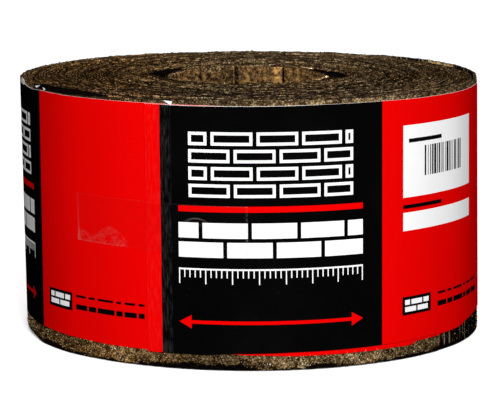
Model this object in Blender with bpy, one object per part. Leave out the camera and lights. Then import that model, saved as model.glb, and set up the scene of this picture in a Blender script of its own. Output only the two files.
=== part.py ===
"""Roll of damp proof course: one long strip wound flat on itself round an empty bore, with a
paper label wrapped round it and a piece of clear tape across the label's free end.

Metres, +Z up. The roll lies on its side: its axis is Z and its lower end is at Z = 0.
The front is -Y. Angles are taken about Z from the front, positive towards +X.
"""

from math import ceil, cos, floor, pi, radians, sin, sqrt

import bmesh
import bpy

# The strip and the coil
STRIP_WIDTH = 0.100
STRIP_LENGTH = 20.0
STRIP_THICKNESS = 0.00113
BORE_DIAMETER = 0.060

# The joints between turns, cut as rings into both ends, one for each group of turns
TURNS_PER_RING = 5
RING_WIDTH = 0.0006
RING_DEPTH = 0.0010

# The paper label, wrapped once round the roll and on under its own free end
LABEL_HEIGHT = 0.092
LABEL_BOTTOM_MARGIN = 0.006
LABEL_THICKNESS = 0.00015
LABEL_FREE_END = radians(-24.7)
LABEL_OVERLAP = radians(79.0)
LABEL_STEP_RUN = radians(12.0)

# The clear tape across the label's free end
TAPE_WIDTH = 0.018
TAPE_LENGTH = 0.0716
TAPE_THICKNESS = 0.0001
TAPE_PAST_LABEL_END = 0.0329
TAPE_ABOVE_LABEL_BOTTOM = 0.038
TAPE_STEP_RUN = radians(8.0)

# Left between pieces that touch
CLEARANCE = 0.0003

# All round pieces share these facets, so that they nest
FACETS = 64

# Worked out from the sizes above
BORE_RADIUS = BORE_DIAMETER / 2
ROLL_RADIUS = sqrt(BORE_RADIUS**2 + STRIP_LENGTH * STRIP_THICKNESS / pi)
FACET_ANGLE = 2 * pi / FACETS
LABEL_INNER_RADIUS = ROLL_RADIUS + CLEARANCE
LABEL_LAYER = LABEL_THICKNESS + CLEARANCE
LABEL_BURIED_END = LABEL_FREE_END + LABEL_OVERLAP

SMOOTH_BELOW = radians(30)


def clear_scene():
    """Removes every object, so that the script can be run again."""
    for thing in list(bpy.data.objects):
        bpy.data.objects.remove(thing, do_unlink=True)


def make_material(name, colour, roughness, alpha=1.0):
    """A plain non-metallic finish."""
    material = bpy.data.materials.new(name)
    material.use_nodes = True
    shader = material.node_tree.nodes["Principled BSDF"]
    shader.inputs["Base Color"].default_value = (*colour, 1.0)
    shader.inputs["Roughness"].default_value = roughness
    shader.inputs["Metallic"].default_value = 0.0
    shader.inputs["Alpha"].default_value = alpha
    material.diffuse_color = (*colour, alpha)
    return material


def add_object(name, shape, material):
    """Turns a bmesh into a smooth-shaded object and frees the bmesh."""
    bmesh.ops.recalc_face_normals(shape, faces=shape.faces)
    mesh = bpy.data.meshes.new(name)
    shape.to_mesh(mesh)
    shape.free()
    mesh.shade_smooth()
    mesh.set_sharp_from_angle(angle=SMOOTH_BELOW)
    mesh.materials.append(material)
    thing = bpy.data.objects.new(name, mesh)
    bpy.context.scene.collection.objects.link(thing)
    return thing


def ring_radii():
    """Where the rings are cut: after each group of turns, with a group's part left outside."""
    spacing = TURNS_PER_RING * STRIP_THICKNESS
    room = ROLL_RADIUS - BORE_RADIUS - RING_WIDTH
    return [BORE_RADIUS + spacing * (i + 1) for i in range(floor(room / spacing))]


def end_profile(height, into):
    """Radius and height along one end of the coil, from the bore to the outside.

    Each ring is a V: in at the flat, down by RING_DEPTH along `into`, and back to the flat.
    """
    points = [(BORE_RADIUS, height)]
    for radius in ring_radii():
        points.append((radius - RING_WIDTH / 2, height))
        points.append((radius, height + into * RING_DEPTH))
        points.append((radius + RING_WIDTH / 2, height))
    points.append((ROLL_RADIUS, height))
    return points


def make_roll():
    """The wound strip as one turned solid: a closed profile spun about the axis."""
    top = end_profile(STRIP_WIDTH, -1)
    bottom = end_profile(0.0, 1)
    profile = bottom + top[::-1]
    shape = bmesh.new()
    corners = [shape.verts.new((0.0, -radius, height)) for radius, height in profile]
    edges = [
        shape.edges.new((corner, corners[(i + 1) % len(corners)]))
        for i, corner in enumerate(corners)
    ]
    bmesh.ops.spin(
        shape,
        geom=corners + edges,
        cent=(0.0, 0.0, 0.0),
        axis=(0.0, 0.0, 1.0),
        dvec=(0.0, 0.0, 0.0),
        angle=2 * pi,
        steps=FACETS,
        use_merge=True,
        use_duplicate=False,
    )
    felt = make_material("bitumen_felt", (0.045, 0.036, 0.028), 0.9)
    return add_object("dpc_roll", shape, felt)


def eased(value):
    """A step from 0 to 1 with level ends."""
    share = min(max(value, 0.0), 1.0)
    return share * share * (3 - 2 * share)


def stations(start, end):
    """The facet corners between two angles, with both angles themselves."""
    first = ceil(start / FACET_ANGLE + 0.1)
    last = floor(end / FACET_ANGLE - 0.1)
    return [start] + [i * FACET_ANGLE for i in range(first, last + 1)] + [end]


def on_facet(radius, angle):
    """Brings a radius in to the flat of the facet that the angle falls on."""
    from_middle = angle % FACET_ANGLE - FACET_ANGLE / 2
    return radius * cos(FACET_ANGLE / 2) / cos(from_middle)


def label_inner_radius(angle):
    """The label's inner face: over the buried end first, then down onto the roll."""
    run = angle - LABEL_BURIED_END - FACET_ANGLE
    return LABEL_INNER_RADIUS + LABEL_LAYER * (1 - eased(run / LABEL_STEP_RUN))


def tape_inner_radius(angle):
    """The tape's inner face: on the label's outer layer, and down a step past its free end."""
    run = LABEL_FREE_END - FACET_ANGLE - angle
    return LABEL_INNER_RADIUS + LABEL_LAYER * (2 - eased(run / TAPE_STEP_RUN))


def make_band(name, start, end, inner_radius, thickness, bottom, height, material):
    """A strip that stands on edge round the roll: a rectangle carried from angle to angle."""
    shape = bmesh.new()
    sections = []
    for angle in stations(start, end):
        inner = on_facet(inner_radius(angle), angle)
        outer = on_facet(inner_radius(angle) + thickness, angle)
        rectangle = [
            (inner, bottom),
            (outer, bottom),
            (outer, bottom + height),
            (inner, bottom + height),
        ]
        corners = [
            shape.verts.new((radius * sin(angle), -radius * cos(angle), level))
            for radius, level in rectangle
        ]
        sections.append(corners)
    for here, following in zip(sections, sections[1:]):
        for i in range(4):
            j = (i + 1) % 4
            shape.faces.new((here[i], here[j], following[j], following[i]))
    shape.faces.new(sections[0][::-1])
    shape.faces.new(sections[-1])
    return add_object(name, shape, material)


def make_label():
    """The paper label, from its free end at the front right round to its buried end."""
    return make_band(
        "label_band",
        LABEL_FREE_END,
        LABEL_BURIED_END + 2 * pi,
        label_inner_radius,
        LABEL_THICKNESS,
        LABEL_BOTTOM_MARGIN,
        LABEL_HEIGHT,
        make_material("printed_paper", (0.76, 0.008, 0.006), 0.35),
    )


def make_tape():
    """The clear tape, which starts past the label's free end and runs on over the label."""
    tape_radius = LABEL_INNER_RADIUS + LABEL_LAYER
    start = LABEL_FREE_END - TAPE_PAST_LABEL_END / tape_radius
    return make_band(
        "clear_tape",
        start,
        start + TAPE_LENGTH / tape_radius,
        tape_inner_radius,
        TAPE_THICKNESS,
        LABEL_BOTTOM_MARGIN + TAPE_ABOVE_LABEL_BOTTOM,
        TAPE_WIDTH,
        make_material("clear_film", (0.92, 0.90, 0.86), 0.25, alpha=0.3),
    )


clear_scene()
make_roll()
make_label()
make_tape()
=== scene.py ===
"""Looks of a roll of damp proof course: the wound strip, its grit and fibres, the printed paper
label, the clear tape and the studio it stands in.

Metres, +Z up. The roll's axis is Z. Directions are angles about Z from the front (-Y), positive
towards +X. Places on the strip and on the label are angles unrolled along them.
"""

from itertools import cycle
from math import atan, cos, pi, radians, tau

import bpy
import numpy as np
from bpy.props import FloatProperty, FloatVectorProperty, IntProperty, PointerProperty
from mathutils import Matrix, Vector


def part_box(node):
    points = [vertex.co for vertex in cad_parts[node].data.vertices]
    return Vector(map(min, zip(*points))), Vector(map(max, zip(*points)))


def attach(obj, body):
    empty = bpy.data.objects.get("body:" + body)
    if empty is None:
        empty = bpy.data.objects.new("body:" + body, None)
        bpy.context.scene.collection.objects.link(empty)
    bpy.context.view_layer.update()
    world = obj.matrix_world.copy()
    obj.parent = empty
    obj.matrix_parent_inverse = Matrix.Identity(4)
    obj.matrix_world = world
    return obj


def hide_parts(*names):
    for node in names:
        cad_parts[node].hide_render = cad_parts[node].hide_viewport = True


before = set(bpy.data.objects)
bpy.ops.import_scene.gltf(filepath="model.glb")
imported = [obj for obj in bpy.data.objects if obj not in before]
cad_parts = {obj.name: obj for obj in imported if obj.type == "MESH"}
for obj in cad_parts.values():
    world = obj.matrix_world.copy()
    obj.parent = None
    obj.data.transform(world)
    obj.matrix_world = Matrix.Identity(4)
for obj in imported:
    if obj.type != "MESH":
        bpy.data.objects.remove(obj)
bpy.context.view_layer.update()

bl_info = {
    "name": "Damp Course Roll",
    "version": (1, 0, 0),
    "blender": (4, 5, 0),
    "location": "View3D > Sidebar > Damp Course",
    "description": "Builds a wound roll of damp proof course with its label, tape and studio",
    "category": "Add Mesh",
}

MM = 0.001
ROLL_LOW, ROLL_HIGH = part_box("dpc_roll")
TAPE_LOW, TAPE_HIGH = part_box("clear_tape")
STRIP_WIDTH = float(ROLL_HIGH[2] - ROLL_LOW[2])
ROLL_RADIUS = float(ROLL_HIGH[0])
PICTURE_WIDTH = 500


def size(name, description, millimetres):
    """A length, given here in millimetres."""
    return FloatProperty(
        name=name, description=description, default=millimetres * MM, unit="LENGTH", precision=5
    )


def turn(name, description, angle):
    """An angle, given here in degrees."""
    return FloatProperty(
        name=name, description=description, default=radians(angle), subtype="ANGLE"
    )


def colour(name, description, value):
    """A linear colour."""
    return FloatVectorProperty(
        name=name, description=description, default=value, subtype="COLOR", min=0.0, max=1.0
    )


def count(name, description, value):
    """A whole number."""
    return IntProperty(name=name, description=description, default=value, min=0)


class CoilSettings(bpy.types.PropertyGroup):
    """Sizes and colours of the wound strip."""

    width: size("Width", "Width of the strip, along the roll's axis", STRIP_WIDTH / MM)
    length: size("Length", "Length of the whole strip", 20002.7)
    thickness: size("Thickness", "Thickness of the strip alone", 1.0)
    bore_radius: size("Bore radius", "Inner face of the first turn", 30.35)
    outer_radius: size("Outer radius", "Outer face at the free end", ROLL_RADIUS / MM + 0.45)
    free_end: turn("Free end", "Where the strip's outer end stops", 52)
    lean: FloatProperty(name="Lean", description="Sideways shift for each metre up", default=-0.0163)
    stations: count("Stations", "Cross sections along the strip", 11600)
    seed: count("Seed", "Seed of the uneven edges", 7)
    tar: colour("Tar", "Bare bitumen", (0.003, 0.0022, 0.0018))
    bitumen: colour("Bitumen", "Dark binder of the felt", (0.012, 0.007, 0.003))
    felt: colour("Felt", "Brown fibres of the felt", (0.042, 0.022, 0.008))
    fleck: colour("Fleck", "Tan flecks on the felt", (0.26, 0.155, 0.06))


class GritSettings(bpy.types.PropertyGroup):
    """Loose grains and fibres on the felt."""

    face_grains: count("Face grains", "Grains on the outer face", 16000)
    end_grains: count("End grains", "Grains on the two ends", 9500)
    grain_size: size("Grain size", "Mean width of a grain on the face", 0.5)
    end_grain_size: size("End grain size", "Mean width of a grain on an end", 0.72)
    fibres: count("Fibres", "Fibres on the two ends", 8500)
    fibre_width: size("Fibre width", "Mean thickness of a fibre", 0.11)
    seed: count("Seed", "Seed of the grains and fibres", 23)


class LabelSettings(bpy.types.PropertyGroup):
    """Sizes and colours of the paper label and its print."""

    thickness: size("Thickness", "Thickness of the paper", 0.12)
    slack: size("Slack", "Air between the paper and what it lies on", 0.09)
    free_end: turn("Free end", "Where the outer layer starts, at the front", -24.7)
    overlap: turn("Overlap", "How far the label runs on under its free end", 79)
    first_panel: turn("First panel", "From the free end to the first black panel", 3.8)
    panel_width: turn("Panel width", "Width of a black panel", 54.0)
    panel_spacing: turn("Panel spacing", "From one black panel to the next", 133.3)
    red: colour("Red", "Red ink", (0.74, 0.0006, 0.0006))
    black: colour("Black", "Black ink", (0.0014, 0.0013, 0.0014))
    white: colour("White", "Bare and printed white", (0.92, 0.92, 0.925))
    seed: count("Seed", "Seed of the bars in the code box", 5)


class TapeSettings(bpy.types.PropertyGroup):
    """Sizes and colour of the clear tape."""

    width: size("Width", "Width of the tape", (TAPE_HIGH[2] - TAPE_LOW[2]) / MM)
    thickness: size("Thickness", "Thickness of the film", 0.05)
    slack: size("Slack", "Air between the film and the paper", 0.03)
    start: turn("Start", "Left end of the tape", -45.2)
    end: turn("End", "Right end of the tape", -0.3)
    tooth: size("Tooth", "Spacing of the teeth along its torn ends", 1.1)
    film: colour("Film", "Colour of the film where it is hazy", (0.45, 0.37, 0.34))


class StageSettings(bpy.types.PropertyGroup):
    """Floor, lights and camera."""

    floor: colour("Floor", "Colour of the floor", (0.95, 0.95, 0.95))
    sky: FloatProperty(name="Sky", description="Strength of the even light all round", default=0.06)
    key: FloatProperty(name="Key", description="Power of the front light", default=44, unit="POWER")
    top: FloatProperty(name="Top", description="Power of the top light", default=12, unit="POWER")
    back: FloatProperty(name="Back", description="Power of the back light", default=17, unit="POWER")
    distance: size("Distance", "From the roll's axis to the camera, level", 982.87)
    height: size("Height", "Camera above the floor", 208.55)
    tilt: turn("Tilt", "How far the camera looks down", 9.23)
    focal_pixels: FloatProperty(
        name="Focal length", description="In pixels of a picture 500 wide", default=2482.4
    )


def eased(value):
    """A step from 0 to 1 with level ends: 3 v squared less 2 v cubed, held between them."""
    share = np.clip(value, 0.0, 1.0)
    return share * share * (3 - 2 * share)


def hump(value, middle, half):
    """A hump that is 1 at the middle and 0 at half its width each side: a squared cosine."""
    share = np.clip((value - middle) / half, -1.0, 1.0)
    return np.cos(share * pi / 2) ** 2


def wrapped(direction):
    """The same direction, between -pi and pi."""
    return (direction + pi) % tau - pi


def waves(value, terms):
    """A sum of sines, each given as (height, rate, phase)."""
    return sum(height * np.sin(rate * value + phase) for height, rate, phase in terms)


def through(points, value):
    """A curve through (place, height) points: each stretch between two is an eased step."""
    places, heights = (np.array(column, float) for column in zip(*points))
    value = np.clip(value, places[0], places[-1])
    index = np.clip(np.searchsorted(places, value, side="right") - 1, 0, len(places) - 2)
    share = (value - places[index]) / (places[index + 1] - places[index])
    return heights[index] + (heights[index + 1] - heights[index]) * eased(share)


def drift(value, spacing, seed):
    """Smooth chance between -1 and 1: random heights a spacing apart, with eased steps between."""
    last = int(np.max(value) / spacing) + 2
    heights = np.random.default_rng(seed).uniform(-1, 1, last + 1)
    index = np.clip((value / spacing).astype(int), 0, last - 1)
    share = value / spacing - index
    return heights[index] + (heights[index + 1] - heights[index]) * eased(share)


def drifts(value, terms, seed):
    """A sum of drifts, each given as (height, spacing, what is added to the seed)."""
    return sum(height * drift(value, spacing, seed + more) for height, spacing, more in terms)


def joined(*columns):
    """Arrays spread to one shape and laid side by side on a new last axis."""
    return np.stack(np.broadcast_arrays(*columns), axis=-1)


class Winding:
    """The shape of the wound strip. Its unrolled angle is 0 at the inner end and grows by tau
    each turn, and its radius grows evenly with that, which makes the spiral. Its rows of numbers
    are curves for `through`, in (degrees, millimetres) where nothing else is said."""

    # The loose turns round the bore, the hollows beside them, and the strip's flat inner end
    LOOSE_TURNS = 3
    GAP_RIGHT = 5.2 * MM
    GAP_LEFT = 4.0 * MM
    GAP_TURNED = 0.2
    GAP_SPREAD = 0.45
    FLAP = radians(41.1)
    # How far the loose turns are sunk: everywhere, at both sides, and at the right alone
    SUNK = 0.2 * MM, 0.9 * MM, 0.6 * MM
    # How far the last turn has sprung off the coil, with a step where its free end stops
    SPRUNG = (
        (-180, 0), (-90, 0.1), (-70, 0.2), (-62, 0.9), (-50, 1.0), (-38, 0.4), (-22, 0),
        (52.0005, 0), (52.002, 0.85), (62, 1.1), (80, 1.1), (100, 0.95), (120, 0.7), (145, 0.2),
        (180, 0),
    )
    # How far the last turn's upper edge has slipped up, and how far the turns inside it have
    SLIPPED = (
        (-180, -0.4), (-150, -0.3), (-110, 0), (-71, 0), (-64, -0.6), (-58, -1.2), (-50, -1.1),
        (-43, -0.8), (-37, -0.4), (-31, -0.2), (-8, 0), (70, 0), (102, 0.55), (130, 0.55),
        (152, 0.1), (180, -0.4),
    )
    PROUD = (
        (-180, -0.45), (-150, -0.35), (-110, 0), (-71, 0), (-66, 0.8), (-61, 1.5), (-53, 1.5),
        (-46, 1.6), (-41, 0.8), (-37, 0.4), (-25, 0), (92, 0), (104, -0.6), (127, -0.6),
        (140, 0), (150, 0), (180, -0.45),
    )
    PROUD_TURNS = 3
    # How far the last turn's foot is raised, and the share of the foot's waves that it keeps
    RAISED = ((-180, 0), (-96, 0), (-85, 1.3), (-74, 1.1), (-62, 0), (180, 0))
    LIFTED = ((-180, 1), (30, 1), (42, 0), (110, 0), (140, 1), (180, 1))
    # The notch torn in the upper edge, by unrolled degrees
    TORN = ((0, 0), (48.5, 0), (50, -1.9), (66, -1.9), (68, 0), (90, 0))
    # Waves as (height, rate, phase), and drifts as (height, spacing, added to the seed)
    WRINKLES = ((0.16 * MM, 2.045, 0.4), (0.10 * MM, 3.07, 2.1), (0.05 * MM, 5.11, 4.0))
    TOP_WAVES = ((0.17 * MM, 1.041, 0.6), (0.12 * MM, 2.113, 2.0), (0.06 * MM, 3.371, 5.0))
    FOOT_WAVES = ((0.15 * MM, 1.063, 2.6), (0.12 * MM, 2.51, 0.7), (0.08 * MM, 5.37, 3.0))
    TOP_DRIFTS = (
        (0.20 * MM, 4.1, 0), (0.22 * MM, 14.3, 4), (0.18 * MM, 0.31, 5), (0.24 * MM, 0.06, 8),
    )
    # The share of its waves that the last turn's upper edge loses
    QUIETED = 0.7

    def __init__(self, settings):
        self.width = settings.width
        self.length = settings.length
        self.thickness = settings.thickness
        self.bore_radius = settings.bore_radius
        self.lean = settings.lean
        self.free_end = settings.free_end
        self.seed = settings.seed
        turns = settings.length / (pi * (settings.bore_radius + settings.outer_radius))
        room = settings.outer_radius - settings.thickness - settings.bore_radius
        self.pitch = room / turns
        self.last = tau * turns
        self.inner_end = settings.free_end - self.last
        self.coil_start = (pi - self.inner_end) % tau + tau * self.LOOSE_TURNS

    def unrolled(self, along):
        """The unrolled angle at a length along the strip. The length is the inner radius times
        the angle, plus the pitch times the angle squared over 4 pi."""
        middle = self.bore_radius + self.thickness / 2
        return (np.sqrt(middle**2 + self.pitch * along / pi) - middle) * tau / self.pitch

    def direction(self, unrolled):
        """The direction at an unrolled angle."""
        return self.inner_end + unrolled

    def degrees(self, unrolled):
        """The direction at an unrolled angle, in degrees between -180 and 180."""
        return np.degrees(wrapped(self.direction(unrolled)))

    def outermost(self, direction):
        """The unrolled angle of the outermost turn in a direction."""
        return self.last - (self.free_end - direction) % tau

    def on_last_turn(self, unrolled, rows, elsewhere=0.0):
        """A curve through rows of (degrees, value), on the last turn alone."""
        values = through(rows, self.degrees(unrolled))
        return np.where(unrolled > self.last - tau, values, elsewhere)

    def radius(self, unrolled):
        """The strip's inner face: an even spiral, less the sag of a chord at its flat inner end,
        plus hollows at both sides outside the loose turns, each a high power of a sine that fades
        outwards, plus wrinkles at the front and back, plus what the last turn has sprung off."""
        direction = self.direction(unrolled)
        side = np.sin(direction)
        even = self.bore_radius + self.pitch * unrolled / tau
        half = self.FLAP / 2
        chord = self.bore_radius * (cos(half) / np.cos(np.minimum(unrolled, self.FLAP) - half) - 1)
        right = self.GAP_RIGHT * np.sin(direction + self.GAP_TURNED) ** 10
        gap = np.where(side > 0, right, self.GAP_LEFT * side**12)
        share = 1 - (unrolled - self.coil_start) / (self.last - self.coil_start)
        within = np.clip((unrolled - tau) / (self.coil_start - tau), 0, 1)
        spread = self.GAP_SPREAD * within * (side > 0)
        oval = gap * np.where(unrolled > self.coil_start, share, spread)
        wrinkled = waves(unrolled, self.WRINKLES) * (1 - side**2)
        wrinkled = wrinkled * eased((unrolled - self.FLAP) / tau)
        return even + chord + oval + wrinkled + self.on_last_turn(unrolled, self.SPRUNG) * MM

    def top(self, unrolled):
        """The upper edge: waves that drift from turn to turn and chance between the turns, both
        quieter on the last; less what the loose turns are sunk by; plus what the last turn has
        slipped, what the turns inside it stand proud, which dies away inwards, and the torn notch."""
        degrees = self.degrees(unrolled)
        side = np.sin(self.direction(unrolled))
        uneven = waves(unrolled, self.TOP_WAVES) + drifts(unrolled, self.TOP_DRIFTS, self.seed)
        quiet = 1 - self.QUIETED * eased((unrolled - self.last + tau) / 0.5)
        loose = 1 - eased((unrolled - self.coil_start) / 0.7 + 0.5)
        evenly, at_sides, at_right = self.SUNK
        sunk = (evenly + at_sides * side**4 + at_right * np.clip(side, 0, 1) ** 2) * loose
        sunk = sunk * (1 - 0.9 * (degrees > 0) * eased((98 - degrees) / 22))
        inside = (self.last - tau - unrolled) / (self.PROUD_TURNS * tau)
        proud = np.where(inside > 0, through(self.PROUD, degrees) * np.exp(-inside), 0.0)
        slipped = self.on_last_turn(unrolled, self.SLIPPED)
        torn = through(self.TORN, np.degrees(unrolled))
        return self.width + uneven * quiet - sunk + (slipped + proud + torn) * MM

    def foot(self, unrolled):
        """The lower edge: waves held above the floor, damped where the last turn shows its end,
        plus what the last turn's foot is raised."""
        lifted = self.on_last_turn(unrolled, self.LIFTED, 1.0)
        raised = self.on_last_turn(unrolled, self.RAISED) * MM
        return np.maximum(waves(unrolled, self.FOOT_WAVES), 0.0) * lifted + raised

    def place(self, direction, radius, height):
        """Points at a direction, a radius and a height, leaning a little to one side."""
        shift = self.lean * (height - self.width / 2)
        x = radius * np.sin(direction) + shift
        y = -radius * np.cos(direction)
        return joined(x, y, height)

    def outside(self, direction):
        """The outer face of the outermost turn in a direction."""
        return self.radius(self.outermost(direction)) + self.thickness


class Wrap:
    """The shape of the label. Its unrolled angle is 0 at the free end, at the front, and grows
    right round the roll and on under the free end. A point on it is found from that, a height,
    and a rise from the paper's inner face."""

    # How far the paper takes to lie flat again past the strip's free end and past its own buried
    # end, the glued width at its free end, and the relief there: cockles, a ridge and a lifted edge
    STEP_FADE = radians(58)
    EDGE_RUN = radians(26)
    GLUE_WIDTH = 9.8 * MM
    COCKLE_HEIGHT, COCKLE_SPACING = 0.05 * MM, 8.3 * MM
    RIDGE_HEIGHT, RIDGE_HALF = 0.07 * MM, 0.9 * MM
    LIFT_HEIGHT, LIFT_RUN = 0.20 * MM, 3.5 * MM
    HELD_HALF = 26 * MM
    # The bare paper along the upper edge, by (degrees from the free end, millimetres)
    RIM = (
        (0, 0.025), (3, 0.025), (6, 0.09), (36, 0.09), (42, 0.03), (200, 0.03), (260, 0.08),
        (305.5, 0.08), (307.5, 2.3), (310.3, 2.3), (312, 0.3), (320, 0.08), (325, 0.025),
        (439, 0.03),
    )
    # How askew the paper is wound at the free end, and how much more it is a turn on
    SKEW = 0.008, 0.016
    # The heights of both edges, by (degrees from the free end, millimetres)
    TOP = (
        (0, 98.35), (4, 98.3), (12, 98.2), (25, 98.2), (42, 98.35), (58, 98.45), (66, 98.3),
        (74, 98.25), (86, 98.2), (92, 98.15), (98, 98.35), (106, 98.2), (180, 98.2),
        (270, 98.6), (300, 98.9), (305.5, 99.0), (307.7, 101.0), (310.3, 100.9), (312, 99.3),
        (315, 98.8), (318, 98.65), (326, 98.9), (340, 98.7), (360, 98.6), (372, 98.4),
        (395, 97.6), (439, 97.4),
    )
    FOOT = (
        (0, 5.75), (12, 5.8), (23, 6.5), (39, 6.8), (57, 6.85), (72.7, 7.0), (80.7, 6.6),
        (86.7, 6.85), (91.7, 8.05), (98.7, 8.85), (110, 8.9), (180, 7.6), (270, 7.3),
        (306, 7.2), (323, 7.2), (338, 6.75), (351, 6.3), (359, 6.3), (372, 6.4), (380, 6.4),
        (386, 5.9), (399, 5.25), (419, 5.1), (422.5, 5.2), (425.5, 4.95), (427.7, 5.0),
        (429.8, 6.1), (439, 6.1),
    )

    def __init__(self, coil, settings):
        self.coil = coil
        self.thickness = settings.thickness
        self.slack = settings.slack
        self.free_end = settings.free_end
        self.overlap = settings.overlap
        self.last = tau + settings.overlap
        self.radius = float(coil.outside(np.array(0.0)))
        beside_end = coil.outside(coil.free_end + np.array((-1e-4, 1e-4)))
        self.strip_step = float(beside_end[0] - beside_end[1])

    def seat(self, direction):
        """What the paper lies on: the coil, and past the strip's end a hollow that it spans."""
        past = (direction - self.coil.free_end) % tau
        spanned = self.strip_step * (1 - eased(past / self.STEP_FADE))
        return self.coil.outside(self.coil.free_end + past) + np.where(past > 0, spanned, 0.0)

    def inner(self, along):
        """The paper's inner face: over its own buried end first, then down onto the coil."""
        layer = self.thickness + self.slack
        raised = layer * (1 - eased((along - self.overlap) / self.EDGE_RUN))
        return self.seat(self.free_end + along) + self.slack + raised

    def relief(self, along, height):
        """Cockles in the glued strip by the free end, the ridge where the glue stops, and the
        free end lifting where no tape holds it."""
        reach = along * self.radius
        glued = hump(reach, self.GLUE_WIDTH / 2, self.GLUE_WIDTH * 0.6)
        swing = height + 2.5 * MM * np.sin(height / (9 * MM))
        cockles = glued * np.sin(swing * tau / self.COCKLE_SPACING + reach * 190)
        ridge = hump(reach, self.GLUE_WIDTH, self.RIDGE_HALF)
        held = hump(height, (TAPE_LOW[2] + TAPE_HIGH[2]) / 2, self.HELD_HALF)
        lifted = np.exp(-np.maximum(reach, 0) / self.LIFT_RUN) * (1 - held)
        return self.COCKLE_HEIGHT * cockles + self.RIDGE_HEIGHT * ridge + self.LIFT_HEIGHT * lifted

    def top(self, along):
        """Height of the upper edge."""
        return through(self.TOP, np.degrees(along)) * MM

    def foot(self, along):
        """Height of the lower edge."""
        return through(self.FOOT, np.degrees(along)) * MM

    def point(self, along, height, rise):
        """A point on the paper, which is wound a little askew, more so further along."""
        radius = self.inner(along) + self.relief(along, height) + rise
        skew = self.SKEW[0] + self.SKEW[1] * along / tau
        askew = skew * (height - self.coil.width) / self.radius
        return self.coil.place(self.free_end + along + askew, radius, height)


def grid_triangles(rows, columns):
    """Two triangles for each cell of a grid of points that is stored row after row."""
    corner = (np.arange(rows - 1)[:, None] * columns + np.arange(columns - 1)).ravel()
    one = np.stack((corner, corner + 1, corner + columns + 1), axis=1)
    two = np.stack((corner, corner + columns + 1, corner + columns), axis=1)
    return np.concatenate((one, two))


def swept(stations, profile):
    """The triangles of a closed profile carried along a path: first its side, two for each cell,
    then its two ends, each closed by a ladder of cells between the profile's halves."""
    cells = grid_triangles(stations, profile + 1)
    side = (cells // (profile + 1)) * profile + (cells % (profile + 1)) % profile
    up = np.arange(profile // 2)
    across = profile - 1 - up
    one = np.stack((up[:-1], up[1:], across[:-1]), axis=1)
    two = np.stack((up[1:], across[1:], across[:-1]), axis=1)
    ladder = np.concatenate((one, two))
    return np.concatenate((side, ladder[:, ::-1], ladder + (stations - 1) * profile))


def repeated(triangles, number, points_each):
    """The triangles of many like shapes, whose points are stored one shape after another."""
    offsets = np.arange(number) * points_each
    return (np.asarray(triangles)[None] + offsets[:, None, None]).reshape(-1, 3)


def faces_out(points, triangles):
    """The triangles, all turned round if the closed surface's signed volume is negative."""
    a, b, c = (points.reshape(-1, 3)[triangles[:, i]] for i in range(3))
    volume = np.einsum("ij,ij->", a, np.cross(b, c))
    return triangles if volume > 0 else triangles[:, ::-1]


def add_object(name, data):
    """An object in the scene with this data."""
    thing = bpy.data.objects.new(name, data)
    bpy.context.scene.collection.objects.link(thing)
    return thing


def add_piece(name, points, triangles, materials, uv=None, slots=None, smooth=True, **values):
    """A mesh object in the scene, from whole arrays. uv has a place for each point, slots a
    material number for each triangle, and values are named numbers for each point."""
    triangles = faces_out(points, triangles)
    mesh = bpy.data.meshes.new(name)
    mesh.from_pydata(points.reshape(-1, 3), [], triangles)
    if smooth:
        mesh.shade_smooth()
        mesh.set_sharp_from_angle(angle=radians(50))
    if uv is not None:
        layer = mesh.uv_layers.new(name="Surface")
        corners = uv.reshape(-1, 2)[triangles.ravel()]
        layer.data.foreach_set("uv", corners.astype(np.float32).ravel())
    if slots is not None:
        mesh.polygons.foreach_set("material_index", slots.astype(np.int32))
    for key, numbers in values.items():
        attribute = mesh.attributes.new(key, "FLOAT", "POINT")
        attribute.data.foreach_set("value", np.asarray(numbers, np.float32).ravel())
    for material in materials:
        mesh.materials.append(material)
    mesh.update()
    return add_object(name, mesh)


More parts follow.
